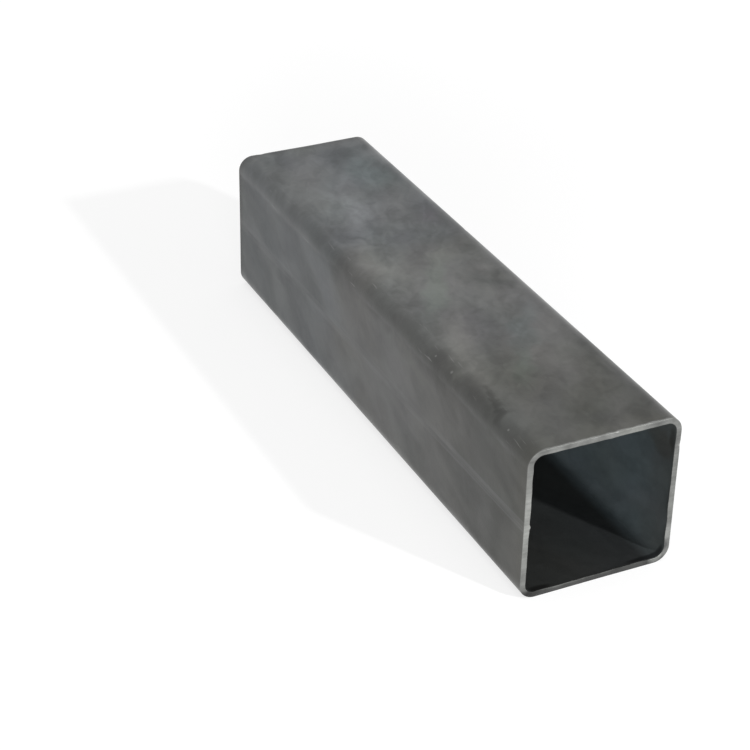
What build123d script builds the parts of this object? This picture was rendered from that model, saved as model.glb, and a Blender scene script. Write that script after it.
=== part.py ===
"""Square hollow section in cold-formed black steel: seam-welded tube, sawn to a short length.

The tube lies on one of its flat sides. Origin: centre of the bottom face. +Y runs along the
length, +X across it, +Z up. All sizes are in millimetres.
"""
import os

from build123d import *

# Section
side = 60.0             # outside width and height
wall = 2.0              # wall thickness, the same round the corners
inner_bend = 4.0        # inside radius of the four rolled corners
outer_bend = inner_bend + wall

# Length and sawn ends
length = 250.0
edge_break = 0.2        # deburring chamfer on the sawn edges

# Weld flash left inside the seam; the outside of the seam is scarfed flush
flash_width = 2.0
flash_height = 0.4
seam_height = side / 2  # the seam runs up the middle of the -X wall

bore = side - 2 * wall
bore_wall_x = -bore / 2


def make_rolled_section():
    """The tube as it leaves the rolls: one constant wall with four concentric corners."""
    with BuildPart() as rolled:
        with BuildSketch(Plane.XZ.offset(length / 2)):
            with Locations((0, side / 2)):
                RectangleRounded(side, side, outer_bend)
                RectangleRounded(bore, bore, inner_bend, mode=Mode.SUBTRACT)
        extrude(amount=-length)
        sawn_ends = rolled.faces().filter_by(Axis.Y)
        chamfer(sawn_ends.edges(), length=edge_break)
    return rolled.part


def make_weld_flash():
    """The low ridge squeezed out along the seam, rooted in the middle of the wall."""
    root_x = bore_wall_x - wall / 2
    crest_x = bore_wall_x + flash_height
    low_z = seam_height - flash_width / 2
    high_z = seam_height + flash_width / 2
    flash_length = length - 2 * edge_break
    with BuildPart() as flash:
        with BuildSketch(Plane.XZ.offset(flash_length / 2)):
            with BuildLine():
                ThreePointArc((bore_wall_x, low_z), (crest_x, seam_height), (bore_wall_x, high_z))
                Polyline((bore_wall_x, high_z), (root_x, high_z), (root_x, low_z), (bore_wall_x, low_z))
            make_face()
        extrude(amount=-flash_length)
    return flash.part


with BuildPart() as square_tube:
    add(make_rolled_section())
    add(make_weld_flash())
square_tube.part.label = "square_tube"

os.makedirs("parts", exist_ok=True)
export_step(square_tube.part, "parts/square_tube.step")
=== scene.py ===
from math import atan2, copysign, cos, pi, radians

import bmesh
import bpy
from mathutils import Matrix, Vector, noise


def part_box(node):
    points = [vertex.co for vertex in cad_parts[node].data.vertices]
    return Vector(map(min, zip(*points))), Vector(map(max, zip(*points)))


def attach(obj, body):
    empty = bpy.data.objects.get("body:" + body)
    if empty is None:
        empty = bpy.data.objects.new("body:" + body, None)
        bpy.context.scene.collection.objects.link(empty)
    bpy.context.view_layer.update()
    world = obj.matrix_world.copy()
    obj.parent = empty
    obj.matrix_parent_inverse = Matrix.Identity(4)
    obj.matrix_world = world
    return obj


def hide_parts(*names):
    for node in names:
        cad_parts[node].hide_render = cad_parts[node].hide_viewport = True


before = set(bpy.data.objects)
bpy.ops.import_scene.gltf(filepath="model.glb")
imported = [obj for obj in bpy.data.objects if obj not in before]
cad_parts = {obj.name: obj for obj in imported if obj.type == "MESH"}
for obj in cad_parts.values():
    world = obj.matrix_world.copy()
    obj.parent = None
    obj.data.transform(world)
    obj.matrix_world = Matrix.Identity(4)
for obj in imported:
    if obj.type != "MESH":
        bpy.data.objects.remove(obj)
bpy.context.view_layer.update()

# The tube. Strip steel is rolled into a square section, its edges are welded into one seam, and
# the tube is sawn to length. Its skin is the blue-grey scale of hot-rolled strip, dulled by handling
# and painted darker towards the near end, which is painted shade, and its two ends are bare steel.
low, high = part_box("square_tube")
side = high.x - low.x
length = high.y - low.y
wall = 0.002
outer_bend = 0.006
flat = side - 2 * outer_bend
edge_break = 0.0002       # the deburring of the sawn edges
seam_height = side / 2    # the seam runs up the middle of the -X wall
ridge_width = 0.002       # the weld ridge left inside it
ridge_height = 0.0004

bend_steps = 12           # faces round each rolled corner, across each flat and over the ridge
flat_steps = 24
ridge_steps = 8
ring_cuts = (7, 24)       # the length is cut into 8 stretches, and each of them into 25
end_rings = (0.0005, 0.001)     # how far in from each saw cut two more rings lie
close = 1e-5              # lengths that differ by less are the same
sharp_from = radians(21)  # edges that turn by more than this stay sharp


def select(kind, picked):
    """Selects the faces or edges of the mesh in edit mode that pass a test, and nothing else."""
    bpy.ops.mesh.select_mode(type={"faces": "FACE", "edges": "EDGE"}[kind])
    bpy.ops.mesh.select_all(action="DESELECT")
    mesh = bmesh.from_edit_mesh(bpy.context.object.data)
    for item in getattr(mesh, kind):
        item.select_set(bool(picked(item)))
    mesh.select_flush_mode()
    bmesh.update_edit_mesh(bpy.context.object.data)


def span(edge):
    """The vector along an edge."""
    return edge.verts[1].co - edge.verts[0].co


def runs_along(edge):
    """Whether an edge runs along the tube."""
    return abs(span(edge).y) > close and span(edge).xz.length < close


def closes_end(face):
    """Whether a face looks out of an end."""
    return abs(face.normal.y) > 0.9


def apply_modifier(kind, **settings):
    """Adds a modifier to the object in hand and applies it."""
    bpy.ops.object.modifier_add(type=kind)
    modifier = bpy.context.object.modifiers[-1]
    for name, value in settings.items():
        setattr(modifier, name, value)
    bpy.ops.object.modifier_apply(modifier=modifier.name)


def weigh(name, weight_at):
    """Gives the object in hand a vertex group, with the weight that a function finds at each point."""
    group = bpy.context.object.vertex_groups.new(name=name)
    for vertex in bpy.context.object.data.vertices:
        weight = weight_at(vertex.co)
        if weight > 0:
            group.add([vertex.index], weight, "REPLACE")


def cloud_texture(name, size):
    """Soft lumps of a size, for a Displace modifier."""
    made = bpy.data.textures.new(name, "CLOUDS")
    made.noise_scale = size
    made.noise_depth = 2
    return made


bpy.ops.object.select_all(action="DESELECT")
bpy.ops.mesh.primitive_cube_add(size=1, location=(0, 0, side / 2), scale=(side, length, side))
tube = bpy.context.object
tube.name = "tube"
bpy.ops.object.transform_apply(location=True, rotation=False, scale=True)
bpy.ops.object.mode_set(mode="EDIT")
select("faces", closes_end)
bpy.ops.mesh.delete(type="FACE")
select("edges", runs_along)
bpy.ops.mesh.bevel(offset=outer_bend, segments=bend_steps, affect="EDGES")

# Lines along the tube, evenly over the flats and close together at the seam, then rings round it,
# evenly and then close together near the sawn ends.
select("edges", lambda edge: abs(span(edge).length - flat) < close)
bpy.ops.mesh.subdivide(number_cuts=flat_steps - 1)
for step in range(ridge_steps + 1):
    height = seam_height + (step / ridge_steps - 0.5) * ridge_width
    select("faces", lambda face: face.normal.x < -0.99)
    bpy.ops.mesh.bisect(plane_co=(0, 0, height), plane_no=(0, 0, 1))
for cuts in ring_cuts:
    select("edges", runs_along)
    bpy.ops.mesh.subdivide(number_cuts=cuts)
for end in (-1, 1):
    for inset in end_rings:
        bpy.ops.mesh.select_all(action="SELECT")
        bpy.ops.mesh.bisect(plane_co=(0, end * (length / 2 - inset), 0), plane_no=(0, 1, 0))
bpy.ops.mesh.select_all(action="SELECT")
bpy.ops.mesh.remove_doubles(threshold=close)
bpy.ops.mesh.normals_make_consistent(inside=False)
bpy.ops.object.mode_set(mode="OBJECT")


def flat_part(point):
    """How far into a flat a point is: 0 where it meets a rolled corner, and 1 along its middle."""
    off_middle = min(abs(point.x), abs(point.z - side / 2)) / (flat / 2)
    return cos(min(off_middle, 1) * pi / 2) ** 2


# Rolled flats are never quite flat: they sink a little between the corners, unevenly.
hollow_depth = 0.00015
hollow_size = 0.045
weigh("flats", flat_part)
apply_modifier("DISPLACE", direction="NORMAL", mid_level=1, strength=hollow_depth,
               vertex_group="flats", texture=cloud_texture("hollows", hollow_size),
               texture_coords="LOCAL")
apply_modifier("SOLIDIFY", thickness=wall, offset=-1, use_even_offset=True)


def ridge_part(point):
    """How high on the weld ridge a point of the bore is: 1 on its crest, and 0 off it."""
    across = abs(point.z - seam_height) / (ridge_width / 2)
    inside = 0 < point.x + side / 2 - wall / 2 < wall
    return cos(across * pi / 2) if inside and across < 1 else 0


# The weld ridge is raised from the inside of the -X wall, and crinkled as squeezed-out metal is.
crinkle_depth = 0.0003
crinkle_size = 0.0022
weigh("ridge", ridge_part)
apply_modifier("DISPLACE", direction="X", mid_level=0, strength=ridge_height, vertex_group="ridge")
apply_modifier("DISPLACE", direction="X", mid_level=0.5, strength=crinkle_depth,
               vertex_group="ridge", texture=cloud_texture("crinkle", crinkle_size),
               texture_coords="LOCAL")

# Giving the wall its thickness moves the end rings a little, and this sets them on the saw cuts.
for vertex in tube.data.vertices:
    if length / 2 - abs(vertex.co.y) < edge_break / 10:
        vertex.co.y = copysign(length / 2, vertex.co.y)

# The sawn edges are broken: those between an end's face and one along the tube.
bpy.ops.object.mode_set(mode="EDIT")
select("edges", lambda edge: sum(closes_end(face) for face in edge.link_faces) == 1)
bpy.ops.mesh.bevel(offset=edge_break, segments=2, affect="EDGES")
bpy.ops.mesh.select_all(action="SELECT")
bpy.ops.object.mode_set(mode="OBJECT")
bpy.ops.object.shade_smooth_by_angle(angle=sharp_from)

# The saw turns the edge of the bore in a little, unevenly.
burr_height = 0.00055
burr_reach = 0.0015
burr_size = 0.005
burrs = []
for vertex in tube.data.vertices:
    outwards = Vector((vertex.normal.x, 0, vertex.normal.z))
    near_end = 1 - (length / 2 - abs(vertex.co.y)) / burr_reach
    if near_end > 0 and outwards.dot(vertex.co - Vector((0, 0, side / 2))) < 0:
        lump = 0.5 + 0.5 * noise.noise(vertex.co / burr_size)
        burrs.append((vertex.index, outwards.normalized() * near_end * lump ** 2 * burr_height))
for index, push in burrs:
    tube.data.vertices[index].co += push

# Knocks on the edges, from handling. Each has its place, its reach and how far it pushes the steel.
nicks = [((0.0300, -0.1250, 0.0480), 0.0026, (-0.00012, 0.0001, 0)),
         ((0.0040, -0.1250, 0.0600), 0.0022, (0, 0.0001, -0.0001)),
         ((-0.0200, 0.1250, 0.0600), 0.0026, (0, -0.0002, -0.0001)),
         ((-0.0279, -0.1072, 0.0586), 0.0018, (0.0001, 0, -0.0001)),
         ((-0.0279, -0.0658, 0.0586), 0.0024, (0.0001, 0, -0.0001)),
         ((-0.0279, -0.0535, 0.0586), 0.0017, (0.0001, 0, -0.0001)),
         ((0.0282, 0.0310, 0.0582), 0.0020, (-0.0001, 0, -0.0001)),
         ((-0.0282, 0.0870, 0.0018), 0.0022, (0.0001, 0, 0.0001)),
         ((0.0282, -0.0840, 0.0018), 0.0020, (-0.0001, 0, 0.0001))]
for knock, reach, push in nicks:
    for vertex in tube.data.vertices:
        near = 1 - (vertex.co - Vector(knock)).length / reach
        if near > 0:
            vertex.co += Vector(push) * near * near * (3 - 2 * near)

# The flat strip that the tube was rolled from: a UV map gives each point's place on it in metres,
# U round the section from the middle of the +X wall, and V along the tube. It breaks at the seam.
bend_middle = outer_bend - wall / 2
pitch = flat + bend_middle * pi / 2       # from the middle of one wall to the next


def quarter_turn(point):
    """Which wall a point lies on, as quarter turns from the +X wall: -2 to 2."""
    return round(atan2(point.z - side / 2, point.x) / (pi / 2))


def strip_place(point, turn):
    """A point's place on the flat strip, for the wall that its face lies on."""
    around = Matrix.Rotation(turn * pi / 2, 3, "Y") @ Vector((point.x, 0, point.z - side / 2))
    over = abs(around.z) - flat / 2
    if over > 0:
        along_bend = atan2(over, around.x - flat / 2) * bend_middle
        return turn * pitch + copysign(flat / 2 + along_bend, around.z), point.y
    return turn * pitch + around.z, point.y


strip = tube.data.uv_layers.new(name="strip")
for face in tube.data.polygons:
    turn = quarter_turn(face.center)
    for loop in face.loop_indices:
        vertex = tube.data.vertices[tube.data.loops[loop].vertex_index]
        strip.data[loop].uv = strip_place(vertex.co, turn)


def node(tree, kind, inputs=None, **settings):
    """Adds a node to a tree, with its settings and the values or links of its inputs."""
    made = tree.nodes.new("ShaderNode" + kind)
    for name, value in settings.items():
        setattr(made, name, value)
    for socket, value in (inputs or {}).items():
        if isinstance(value, bpy.types.NodeSocket):
            tree.links.new(value, made.inputs[socket])
        else:
            made.inputs[socket].default_value = value
    return made


def maths(tree, operation, *values):
    """A Math node's result."""
    return node(tree, "Math", dict(enumerate(values)), operation=operation).outputs[0]


def mixed(tree, factor, first, second, blend="MIX"):
    """The colour mixed from two by a factor. MULTIPLY tints the first where the factor is 1."""
    return node(tree, "Mix", {0: factor, 6: first, 7: second}, data_type="RGBA",
                blend_type=blend).outputs[2]


def ranged(tree, value, low_in, high_in, low_out=0.0, high_out=1.0):
    """A value moved smoothly from one range to another."""
    return node(tree, "MapRange", {0: value, 1: low_in, 2: high_in, 3: low_out, 4: high_out},
                interpolation_type="SMOOTHSTEP").outputs[0]


def clouds(tree, place, size, detail=2.0, stretch=1.0, lean=0.0, shift=0.0, warp=0.0):
    """Soft patches of a size in metres, stretched along the tube and leaning from it by degrees."""
    moved = node(tree, "Mapping", {"Vector": place, "Location": (shift, shift, 0),
                                   "Rotation": (0, 0, radians(lean)),
                                   "Scale": (size, size * stretch, size)}, vector_type="TEXTURE")
    return node(tree, "TexNoise", {"Vector": moved.outputs[0], "Scale": 1.0, "Detail": detail,
                                   "Roughness": 0.5, "Distortion": warp}).outputs[0]


def summed(tree, value, *patterns):
    """A value plus patterns, each with its weight and counted from its middle, which is a half."""
    for pattern, weight in patterns:
        value = maths(tree, "MULTIPLY_ADD", maths(tree, "SUBTRACT", pattern, 0.5), weight, value)
    return value


def marked(tree, colour, place, marks, soft, *ragged):
    """A colour tinted by marks. Each has a middle and half-sizes, in two or three directions, a lean
    in degrees and a tint. It fades over the soft range, counted in half-sizes, and patterns with
    weights make its edge ragged."""
    for middle, half_sizes, lean, tint in marks:
        spot = node(tree, "Mapping", {"Vector": place, "Location": Vector(middle).to_3d(),
                                      "Rotation": (0, 0, radians(lean)),
                                      "Scale": (*half_sizes, 1)[:3]}, vector_type="TEXTURE")
        off_middle = node(tree, "VectorMath", {0: spot.outputs[0]}, operation="LENGTH")
        off_middle = summed(tree, off_middle.outputs["Value"], *ragged)
        fade = ranged(tree, off_middle, *soft, 1.0, 0.0)
        colour = mixed(tree, fade, colour, (*tint, 1), "MULTIPLY")
    return colour


def new_group(name, inputs, outputs):
    """A shader node group with its sockets, and its input and output nodes."""
    tree = bpy.data.node_groups.new(name, "ShaderNodeTree")
    for label, kind, value in inputs:
        socket = tree.interface.new_socket(label, in_out="INPUT", socket_type="NodeSocket" + kind)
        if value is not None:
            socket.default_value = value
    for label, kind in outputs:
        tree.interface.new_socket(label, in_out="OUTPUT", socket_type="NodeSocket" + kind)
    return tree, tree.nodes.new("NodeGroupInput"), tree.nodes.new("NodeGroupOutput")


def new_material(name):
    """A material with its node tree and its Principled shader."""
    made = bpy.data.materials.new(name)
    made.use_nodes = True
    return made, made.node_tree, made.node_tree.nodes["Principled BSDF"]


def set_finish(tree, shader, colour, roughness, height, depth):
    """Gives a shader its colour, its roughness and a relief of a depth in metres."""
    bump = node(tree, "Bump", {"Height": height, "Distance": depth, "Strength": 1.0}).outputs[0]
    for socket, value in (("Base Color", colour), ("Roughness", roughness), ("Normal", bump)):
        tree.links.new(value, shader.inputs[socket])


# Mill scale on strip: broad clouds, leaning smears, mottles, faint roll lines and a fine grain.
smear_lean = 27
scale_relief = 0.00008
scale_tree, scale_in, scale_out = new_group(
    "mill_scale",
    [("Strip", "Vector", None), ("Light", "Color", (0.194, 0.194, 0.193, 1)),
     ("Dark", "Color", (0.041, 0.041, 0.041, 1)), ("Warm", "Color", (1.01, 1.0, 0.98, 1)),
     ("Cool", "Color", (0.985, 1.0, 1.02, 1)), ("Green", "Color", (0.985, 1.01, 0.985, 1)),
     ("Grey", "Color", (1.0, 0.995, 1.0, 1))],
    [("Color", "Color"), ("Roughness", "Float"), ("Height", "Float")])
place = scale_in.outputs["Strip"]
broad = clouds(scale_tree, place, 0.075, 1.0, 1.4, smear_lean)
patches = clouds(scale_tree, place, 0.018, 1.0, 2.0, smear_lean, 0.31, 0.6)
flakes = clouds(scale_tree, place, 0.010, 1.0, 1.8, smear_lean, 0.62, 0.8)
mottles = clouds(scale_tree, place, 0.0055, 1.0, 1.5, smear_lean, 0.77, 1.0)
fine = clouds(scale_tree, place, 0.0022, 2.0, 1.2, smear_lean, 0.13)
lines = clouds(scale_tree, place, 0.0012, 2.0, 60.0, 0.0, 0.59)
specks = ranged(scale_tree, clouds(scale_tree, place, 0.0011, 1.0, 1.0, 0.0, 0.27), 0.70, 0.78)
tone = summed(scale_tree, 0.5, (broad, 0.20), (ranged(scale_tree, patches, 0.38, 0.62), 0.15),
              (ranged(scale_tree, flakes, 0.42, 0.58), 0.11),
              (ranged(scale_tree, mottles, 0.40, 0.60), 0.09), (fine, 0.16), (lines, 0.04))
tone = maths(scale_tree, "MULTIPLY_ADD", specks, -0.12, tone)
skin = mixed(scale_tree, tone, scale_in.outputs["Dark"], scale_in.outputs["Light"])
for size, shift, first, second in ((0.024, 0.91, "Warm", "Cool"), (0.018, 0.47, "Green", "Grey")):
    hue = ranged(scale_tree, clouds(scale_tree, place, size, 1.0, 1.8, smear_lean, shift), 0.3, 0.7)
    tint = mixed(scale_tree, hue, scale_in.outputs[first], scale_in.outputs[second])
    skin = mixed(scale_tree, 1.0, skin, tint, "MULTIPLY")
scale_tree.links.new(skin, scale_out.inputs["Color"])
rough = ranged(scale_tree, patches, 0.3, 0.7, 0.60, 0.50)
scale_tree.links.new(rough, scale_out.inputs["Roughness"])
grain = clouds(scale_tree, place, 0.0007, 2.0, 1.0, 0.0, 0.43)
relief = summed(scale_tree, 0.5, (grain, 0.4), (fine, 0.5), (lines, 0.25), (specks, -0.3))
scale_tree.links.new(relief, scale_out.inputs["Height"])

# Metal laid bare by the knocks on the edges, in the middle of each.
bare_share = 0.4
bare_tree, bare_in, bare_out = new_group("bare_knocks", [("Place", "Vector", None)],
                                         [("Bare", "Float")])
bare = 0.0
for knock, reach, push in nicks:
    away = node(bare_tree, "VectorMath", {0: bare_in.outputs["Place"], 1: knock},
                operation="DISTANCE").outputs["Value"]
    bare = maths(bare_tree, "MAXIMUM", bare,
                 ranged(bare_tree, away, 0.0, reach * bare_share, 1.0, 0.0))
bare_tree.links.new(bare, bare_out.inputs["Bare"])

# Outside, the scale is bluer towards the far end and plainer on the sides than on the top and
# bottom. Towards the near end it is painted darker and a little browner, which is painted shade.
skin_material, tree, shader = new_material("outer_scale")
place = node(tree, "UVMap", uv_map="strip").outputs[0]
scale = node(tree, "Group", {"Strip": place}, node_tree=scale_tree)
where = node(tree, "SeparateXYZ", {"Vector": place}).outputs
round_it = maths(tree, "ABSOLUTE", where["X"])
drift = clouds(tree, place, 0.04, 1.0)
along = summed(tree, where["Y"], (drift, 0.06))
off_top = maths(tree, "ABSOLUTE", maths(tree, "SUBTRACT", round_it, pitch))
skin = mixed(tree, ranged(tree, off_top, pitch * 0.4, pitch * 0.6, 0.0, 0.55),
             scale.outputs["Color"], (0.118, 0.119, 0.118, 1))
# Painted shade: the skin darker and a little browner towards the near end.
painted_shade_near_end = mixed(tree, ranged(tree, along, -0.13, -0.02), (0.60, 0.60, 0.565, 1), (1.0, 1.0, 0.99, 1))
skin = mixed(tree, 1.0, skin, painted_shade_near_end, "MULTIPLY")
skin = mixed(tree, ranged(tree, along, 0.01, 0.04), skin, (0.965, 1.005, 1.05, 1), "MULTIPLY")

# Stains on the top and sides, and painted shade along the corner between the top and the -X
# wall: place across the strip and along it, half-sizes, lean and tint.
top = pitch
stains_and_painted_shade = [((top + 0.019, -0.060), (0.007, 0.024), 12, (1.24, 1.24, 1.22)),
          ((top + 0.020, 0.008), (0.008, 0.026), 10, (1.24, 1.25, 1.24)),
          ((top + 0.004, -0.007), (0.006, 0.032), 30, (1.02, 1.10, 1.03)),
          ((top + 0.006, 0.062), (0.011, 0.017), 15, (1.32, 1.33, 1.34)),
          ((top + 0.004, 0.058), (0.020, 0.042), 12, (1.18, 1.19, 1.20)),
          ((top - 0.003, -0.100), (0.016, 0.015), 15, (0.84, 0.84, 0.80)),
          ((top + 0.004, -0.040), (0.008, 0.012), 25, (0.86, 0.85, 0.87)),
          ((top + 0.002, 0.029), (0.007, 0.008), 25, (0.92, 0.93, 0.95)),
          ((top + 0.014, 0.035), (0.002, 0.008), -35, (0.80, 0.80, 0.80)),
          ((top - 0.0155, -0.012), (0.008, 0.008), 0, (0.60, 0.62, 0.62)),
          ((top - 0.012, 0.107), (0.012, 0.013), 0, (0.87, 0.88, 0.89)),
          ((top - 0.024, -0.015), (0.006, 0.110), 0, (0.82, 0.82, 0.82)),
          # Painted shade: a dark smudge by the corner between the top and the -X wall.
          ((top + 0.0245, -0.092), (0.0022, 0.013), 7, (0.60, 0.60, 0.59)),
          ((top + 0.004, -0.077), (0.006, 0.014), 30, (0.98, 1.04, 0.99)),
          ((top - 0.009, -0.027), (0.006, 0.012), 20, (0.88, 0.88, 0.88)),
          ((top - 0.019, 0.038), (0.006, 0.022), 0, (1.12, 1.11, 1.12)),
          ((top + 0.023, 0.062), (0.005, 0.014), 0, (0.84, 0.84, 0.85)),
          ((top + 0.014, -0.080), (0.006, 0.010), 30, (1.14, 1.14, 1.12)),
          # Painted shade: a dark band along the corner between the top and the -X wall.
          ((top + 0.0285, -0.035), (0.008, 0.110), 0, (0.68, 0.68, 0.67)),
          ((top - 0.008, -0.055), (0.006, 0.026), 28, (0.94, 1.01, 1.01)),
          ((top - 0.014, 0.090), (0.011, 0.018), 10, (0.92, 0.99, 0.99)),
          ((top - 0.018, 0.043), (0.006, 0.008), 0, (1.02, 0.97, 1.01)),
          ((top + 0.012, -0.010), (0.012, 0.090), 0, (1.05, 1.05, 1.05)),
          ((0.008, 0.050), (0.012, 0.034), -6, (0.86, 0.86, 0.85)),
          ((-0.010, -0.060), (0.010, 0.022), 8, (1.14, 1.14, 1.15))]
stir_reach = 0.016
stir = node(tree, "TexNoise", {"Vector": place, "Scale": 90.0, "Detail": 3.0}).outputs["Color"]
stir = node(tree, "VectorMath", {0: stir, 1: (0.5, 0.5, 0.5)}, operation="SUBTRACT").outputs[0]
stirred = node(tree, "VectorMath", {0: stir, 1: (stir_reach, stir_reach, 0), 2: place},
               operation="MULTIPLY_ADD").outputs[0]
skin = marked(tree, skin, stirred, stains_and_painted_shade, (0.2, 1.3))

# The rolls wear the scale smooth on the corners, with faint rubs along them. The corners are
# also painted darker, which is painted shade.
off_corner = maths(tree, "SUBTRACT", maths(tree, "MODULO", round_it, pitch), pitch / 2)
off_corner = maths(tree, "ABSOLUTE", off_corner)
ragged = summed(tree, off_corner, (clouds(tree, place, 0.007, 3.0, 3.0), 0.008))
wear_and_painted_shade = ranged(tree, ragged, 0.0026, 0.0056, 1.0, 0.0)
# Painted shade: the corners darker.
skin = mixed(tree, wear_and_painted_shade, skin, (0.86, 0.86, 0.86, 1), "MULTIPLY")
rubs = ranged(tree, clouds(tree, place, 0.0009, 2.0, 14.0, 3.0, 0.83), 0.64, 0.76)
rubs = maths(tree, "MULTIPLY", rubs, ranged(tree, off_corner, 0.003, 0.007, 0.45, 0.0))
skin = mixed(tree, rubs, skin, (0.22, 0.22, 0.215, 1))

# The scarfed seam is a lighter band, planed along the tube.
off_seam = summed(tree, maths(tree, "SUBTRACT", 2 * pitch, round_it), (drift, 0.0015))
planed = clouds(tree, place, 0.0006, 2.0, 90.0, 0.0, 0.37)
scarf = maths(tree, "MULTIPLY", ranged(tree, off_seam, 0.0018, 0.0026, 1.0, 0.0),
              ranged(tree, planed, 0.3, 0.7, 0.05, 0.35))
skin = mixed(tree, scarf, skin, (0.17, 0.173, 0.176, 1))

# Both ends are rubbed a little lighter next to the saw cuts. The cuts' edges are scraped bare,
# unevenly and most along the top and bottom, and the far one has dulled. Knocks show bare steel.
from_end = maths(tree, "SUBTRACT", length / 2, maths(tree, "ABSOLUTE", where["Y"]))
rubbed = summed(tree, from_end, (clouds(tree, place, 0.012, 2.0), 0.008))
rubbed = ranged(tree, rubbed, 0.0005, 0.010, 1.0, 0.0)
skin = mixed(tree, rubbed, skin, (1.12, 1.11, 1.08, 1), "MULTIPLY")
scraped = summed(tree, from_end, (clouds(tree, place, 0.004, 2.0), 0.0012))
scraped = maths(tree, "MULTIPLY", ranged(tree, scraped, 0.0003, 0.0010, 1.0, 0.0),
                ranged(tree, off_top, pitch * 0.36, pitch * 0.5, 1.0, 0.1))
skin = mixed(tree, scraped, skin, (0.225, 0.23, 0.222, 1))
dulled = ranged(tree, maths(tree, "SUBTRACT", length / 2, where["Y"]), 0.0005, 0.005, 1.0, 0.0)
skin = mixed(tree, dulled, skin, (0.74, 0.74, 0.745, 1), "MULTIPLY")
solid = tree.nodes.new("ShaderNodeTexCoord").outputs["Object"]
bare = node(tree, "Group", {"Place": solid}, node_tree=bare_tree).outputs["Bare"]
skin = mixed(tree, bare, skin, (0.16, 0.163, 0.157, 1))
rough = maths(tree, "MULTIPLY_ADD", wear_and_painted_shade, -0.20, scale.outputs["Roughness"])
set_finish(tree, shader, skin, rough, scale.outputs["Height"], scale_relief)
shader.inputs["Metallic"].default_value = 0.25
shader.inputs["Specular IOR Level"].default_value = 0.3

# Inside, the scale is painted darker than outside, which is painted shade, and the +X wall is
# painted lighter and bluer, more so deeper in, which is painted light. It is burnt or rubbed in
# places by the saw, and a dark line just inside the mouth along the bottom is painted shade. The
# marks have their place across the strip and along it, half-sizes, lean and tint.
bore_material, tree, shader = new_material("bore_scale")
strip_map = node(tree, "UVMap", uv_map="strip").outputs[0]
other_part = (0.5, 0.5, 0)      # the pattern is not the outside's
place = node(tree, "Mapping", {"Vector": strip_map, "Location": other_part}).outputs[0]
# The inside's dark Light and Dark are painted shade.
scale = node(tree, "Group", {"Strip": place, "Light": (0.044, 0.045, 0.0445, 1),
                             "Dark": (0.017, 0.018, 0.018, 1)}, node_tree=scale_tree)
where = node(tree, "SeparateXYZ", {"Vector": strip_map}).outputs
off_plus_x_wall = maths(tree, "ABSOLUTE", where["X"])
drift = clouds(tree, place, 0.009, 2.0)
inward = maths(tree, "SUBTRACT", length / 2, maths(tree, "ABSOLUTE", where["Y"]))
inward = summed(tree, inward, (drift, 0.012))
# Painted light: the +X wall lighter and bluer, more so deeper in.
painted_light_plus_x = mixed(tree, ranged(tree, inward, 0.002, 0.024), (1.95, 2.1, 2.15, 1), (2.42, 2.86, 3.14, 1))
plain = mixed(tree, ranged(tree, off_plus_x_wall, pitch * 0.6, pitch * 1.4), (0.99, 1.03, 1.06, 1),
              (1, 1, 0.97, 1))
tint = mixed(tree, ranged(tree, off_plus_x_wall, pitch * 0.56, pitch * 0.65), painted_light_plus_x, plain)
skin = mixed(tree, 1.0, scale.outputs["Color"], tint, "MULTIPLY")
bore_marks_and_shade = [((0.015, -0.117), (0.0055, 0.012), 0, (0.85, 0.80, 0.76)),
              ((0.019, -0.123), (0.0050, 0.0024), 0, (0.60, 0.58, 0.56)),
              ((-0.018, -0.114), (0.0100, 0.014), 0, (1.12, 1.10, 1.09)),
              # Painted shade: a dark line just inside the mouth along the bottom.
              ((-0.035, -0.1233), (0.0090, 0.0014), 0, (0.34, 0.34, 0.35)),
              ((-0.077, -0.1233), (0.0060, 0.0014), 0, (0.36, 0.35, 0.35))]
skin = marked(tree, skin, strip_map, bore_marks_and_shade, (0.5, 1.2), (drift, 1.6))
set_finish(tree, shader, skin, scale.outputs["Roughness"], scale.outputs["Height"], scale_relief)
shader.inputs["Metallic"].default_value = 0.2
shader.inputs["Specular IOR Level"].default_value = 0.3

# The ends are bare steel with fine saw marks, painted darker along their lower edge, which is
# painted shade. The near one is marked: across and up, half-sizes and tint.
end_material, tree, shader = new_material("sawn_end")
place = tree.nodes.new("ShaderNodeTexCoord").outputs["Object"]
saw_lean = radians(12)
marks = node(tree, "Mapping", {"Vector": place, "Rotation": (0, saw_lean, 0),
                               "Scale": (60, 60, 1600)})
marks = node(tree, "TexNoise", {"Vector": marks.outputs[0], "Scale": 1.0, "Detail": 3.0}).outputs[0]
spots = clouds(tree, place, 0.006, 3.0)
steel = mixed(tree, summed(tree, 0.5, (marks, 1.1), (spots, 2.2)), (0.14, 0.142, 0.137, 1),
              (0.262, 0.267, 0.257, 1))
height = summed(tree, node(tree, "SeparateXYZ", {"Vector": place}).outputs["Z"], (spots, 0.004))
# Painted shade: the ends darker along their lower edge.
painted_shade_low = ranged(tree, height, 0.0017, 0.0045, 1.0, 0.0)
steel = mixed(tree, painted_shade_low, steel, (0.34, 0.34, 0.345, 1), "MULTIPLY")
end_marks = [((-0.029, 0.031), (0.004, 0.020), (1.42, 1.42, 1.41)),
             ((0.010, 0.059), (0.006, 0.003), (1.22, 1.22, 1.20)),
             ((0.020, 0.059), (0.005, 0.003), (0.90, 0.90, 0.90)),
             ((0.029, 0.034), (0.003, 0.012), (0.94, 0.94, 0.94)),
             ((0.029, 0.012), (0.003, 0.005), (1.18, 1.18, 1.18)),
             ((0.0275, 0.0065), (0.0016, 0.0028), (0.66, 0.66, 0.68)),
             ((0.0245, 0.0022), (0.0030, 0.0026), (3.00, 3.05, 3.00)),
             ((-0.0250, 0.0030), (0.006, 0.0035), (0.74, 0.74, 0.74))]
mark_depth = 0.01
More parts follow.
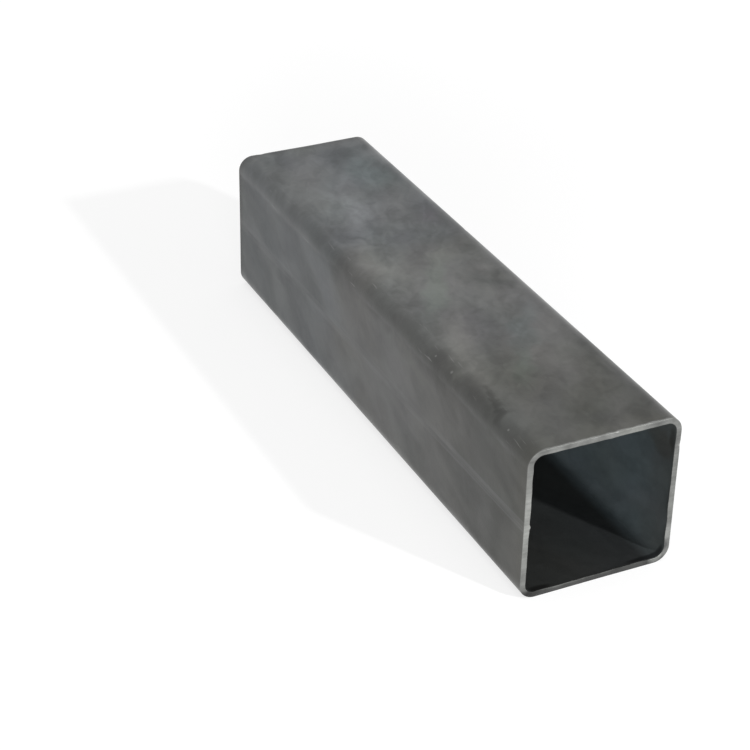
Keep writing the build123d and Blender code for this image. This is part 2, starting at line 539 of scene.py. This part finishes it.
placed_marks = [((across, -length / 2, up), (wide, mark_depth, tall), 0, tint)
                for (across, up), (wide, tall), tint in end_marks]
steel = marked(tree, steel, place, placed_marks, (0.4, 1.2), (spots, 1.0))
bare = node(tree, "Group", {"Place": place}, node_tree=bare_tree).outputs["Bare"]
steel = mixed(tree, bare, steel, (0.42, 0.425, 0.41, 1))
saw_relief = 0.00005
set_finish(tree, shader, steel, ranged(tree, marks, 0.3, 0.7, 0.42, 0.55), marks, saw_relief)
shader.inputs["Metallic"].default_value = 0.85

# Each face takes its finish by its place: the broken edges are as bare as the ends are.
finishes = (skin_material, bore_material, end_material)
for finish in finishes:
    tube.data.materials.append(finish)
for face in tube.data.polygons:
    finish = bore_material
    if face.normal.dot(Vector((face.center.x, 0, face.center.z - side / 2))) > 0:
        finish = skin_material
    if length / 2 - abs(face.center.y) < edge_break + close:
        finish = end_material
    face.material_index = finishes.index(finish)

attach(tube, "root")
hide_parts("square_tube")

# The floor is plain and pale. Its own light shows only to the eye and in reflections, and is a
# little weaker near the tube.
bpy.ops.object.select_all(action="DESELECT")
bpy.ops.mesh.primitive_plane_add(size=12)
floor = bpy.context.object
floor.name = "floor"
floor_material = bpy.data.materials.new("floor")
floor_material.use_nodes = True
floor_material.cycles.emission_sampling = "NONE"
tree = floor_material.node_tree
tree.nodes.clear()


def seen_directly(tree):
    """1 for what the eye, metal and glass see, and 0 for light on its way from surface to surface."""
    ray = node(tree, "LightPath").outputs
    return maths(tree, "MAXIMUM", maths(tree, "MAXIMUM", ray["Is Camera Ray"], ray["Is Glossy Ray"]),
                 ray["Is Transmission Ray"])


place = tree.nodes.new("ShaderNodeTexCoord").outputs["Object"]
off_centre = node(tree, "VectorMath", {0: place}, operation="LENGTH").outputs["Value"]
paint = node(tree, "BsdfDiffuse", {"Color": (0.34, 0.34, 0.34, 1)})
lift = maths(tree, "MULTIPLY", seen_directly(tree), ranged(tree, off_centre, 0.15, 0.8, 0.72, 0.88))
lift = node(tree, "Emission", {"Color": (1, 1, 1, 1), "Strength": lift})
both = node(tree, "AddShader", {0: paint.outputs[0], 1: lift.outputs[0]})
node(tree, "OutputMaterial", {"Surface": both.outputs[0]})
floor.data.materials.append(floor_material)

# The room is white to the eye, and lights the tube softly from all round.
scene = bpy.context.scene
scene.view_settings.view_transform = "Standard"
world = bpy.data.worlds.new("studio")
scene.world = world
world.use_nodes = True
world.cycles.sampling_method = "NONE"
tree = world.node_tree
tree.nodes.clear()
room_light = 0.3
air = node(tree, "Background", {"Color": (1, 1, 1, 1),
                                "Strength": ranged(tree, seen_directly(tree), 0, 1, room_light, 1.0)})
node(tree, "OutputWorld", {"Surface": air.outputs[0]})


def softbox(name, place, aim, width, height, power, mirrored=True):
    """A soft lamp at a place, turned to an aim, which shiny surfaces may mirror."""
    lamp = bpy.data.lights.new(name, "AREA")
    lamp.shape = "RECTANGLE"
    lamp.size = width
    lamp.size_y = height
    lamp.energy = power
    held = bpy.data.objects.new(name, lamp)
    scene.collection.objects.link(held)
    held.location = place
    held.rotation_euler = (Vector(aim) - Vector(place)).to_track_quat("-Z", "Y").to_euler()
    held.visible_camera = False
    held.visible_glossy = mirrored


# A low lamp lights the sawn end, a wide one the top, and a small one throws the edge of shade
# down the bore.
softbox("low_front_left", (-0.82, -1.95, 0.25), aim=(0, -0.1, 0.03), width=0.8, height=0.4,
        power=50, mirrored=False)
softbox("above", (-0.3, 0.1, 2.0), aim=(0, 0, 0.03), width=1.6, height=1.6, power=12,
        mirrored=False)
softbox("front_right", (0.463, -1.01, 0.68), aim=(0, -0.12, 0.03), width=0.05, height=0.05,
        power=9)

# The camera looks down on the sawn end and the top.
camera = bpy.data.objects.new("camera", bpy.data.cameras.new("camera"))
scene.collection.objects.link(camera)
scene.camera = camera
camera_place = Vector((-0.3287, -0.6176, 0.4314))
camera_aim = Vector((-0.0322, -0.0138, 0.03))
camera_roll = radians(1.2)
focal_pixels = 2083.1
image_pixels = 750
camera.data.sensor_width = 36
camera.data.lens = focal_pixels / image_pixels * camera.data.sensor_width
camera.data.clip_start = 0.01
towards = (camera_aim - camera_place).to_track_quat("-Z", "Y")
camera.matrix_world = (Matrix.Translation(camera_place) @ towards.to_matrix().to_4x4()
                       @ Matrix.Rotation(camera_roll, 4, "Z"))
